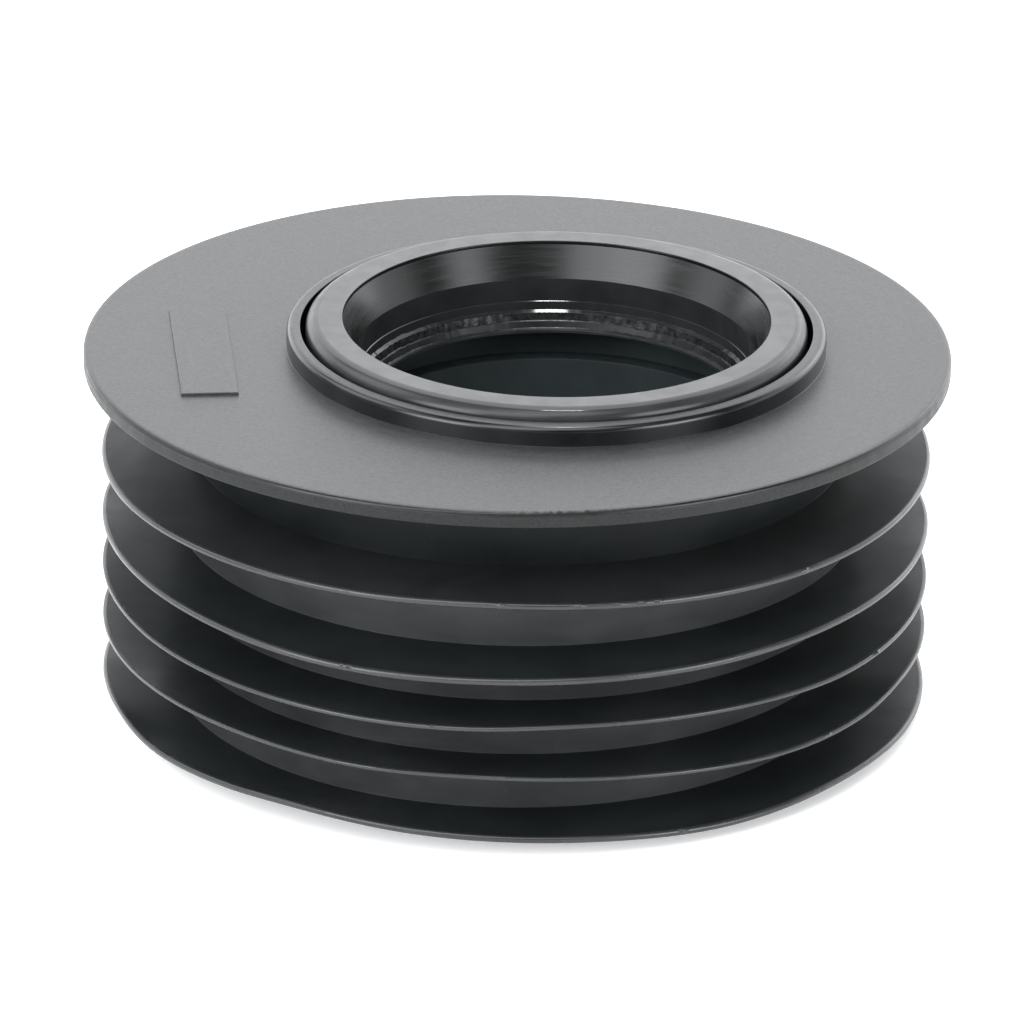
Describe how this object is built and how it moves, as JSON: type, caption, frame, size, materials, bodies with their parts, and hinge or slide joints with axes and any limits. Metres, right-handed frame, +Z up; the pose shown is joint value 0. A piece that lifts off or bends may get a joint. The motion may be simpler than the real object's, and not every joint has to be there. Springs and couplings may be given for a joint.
{
  "type": "offset drain connector",
  "caption": "Short finned drain plug with a flat round flange, an off-centre collar and a rubber lip seal that takes a waste pipe.",
  "frame": {"origin": "on the spigot's axis at the base rim, which is the centre of the bounding box's bottom", "axes": "+Z up along the spigot and the pipe, +X from the spigot's axis towards the pipe's axis"},
  "size_m": [0.118, 0.118, 0.0551],
  "materials": {
    "body": "black, finely textured and matt on the flange, smooth with a low sheen on the spigot and fins",
    "seal": "black, satin on the faces and glossy at the lip"
  },
  "bodies": {
    "root": {"finned_body": "body", "seal_ring": "seal"}
  },
  "joints": []
}
